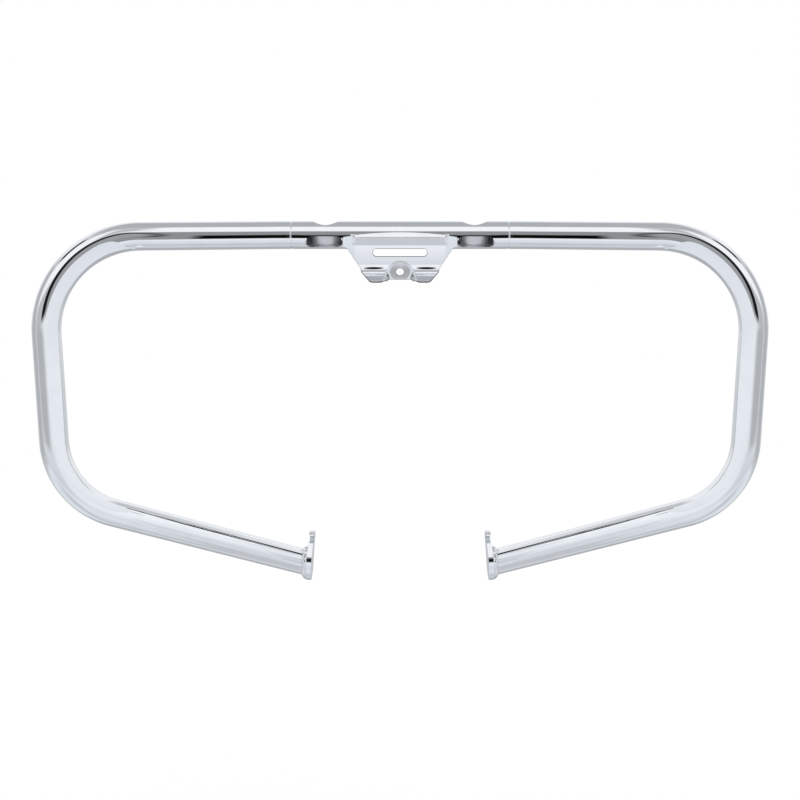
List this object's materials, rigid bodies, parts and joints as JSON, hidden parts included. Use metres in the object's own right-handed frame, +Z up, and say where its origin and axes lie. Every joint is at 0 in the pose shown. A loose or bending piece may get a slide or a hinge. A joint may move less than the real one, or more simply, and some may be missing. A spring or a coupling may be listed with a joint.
{
  "type": "motorcycle engine guard",
  "caption": "Chromed tube guard that loops out on each side of a motorcycle's engine, with a stamped centre bracket, saddles for the down tubes and slotted end lugs.",
  "frame": {"origin": "middle of the centre bolt hole, on the back face of the bolt seat, which lies against the motorcycle's frame", "axes": "X across the motorcycle, +Y towards its rear, +Z up"},
  "size_m": [0.8174, 0.1865, 0.4291],
  "materials": {
    "tube_chrome": "bright chrome plate",
    "plate_chrome": "bright chrome plate on stamped plate",
    "weld_chrome": "chrome plate over a rippled weld",
    "sleeve_steel": "drawn steel, no plating"
  },
  "bodies": {
    "root": {"centre_tube": "tube_chrome", "left_side_tube": "tube_chrome", "right_side_tube": "tube_chrome", "left_sleeve": "sleeve_steel", "right_sleeve": "sleeve_steel", "centre_bracket": "plate_chrome", "left_lug": "plate_chrome", "right_lug": "plate_chrome", "left_lug_weld": "weld_chrome", "right_lug_weld": "weld_chrome", "left_bracket_weld": "weld_chrome", "right_bracket_weld": "weld_chrome"}
  },
  "joints": []
}
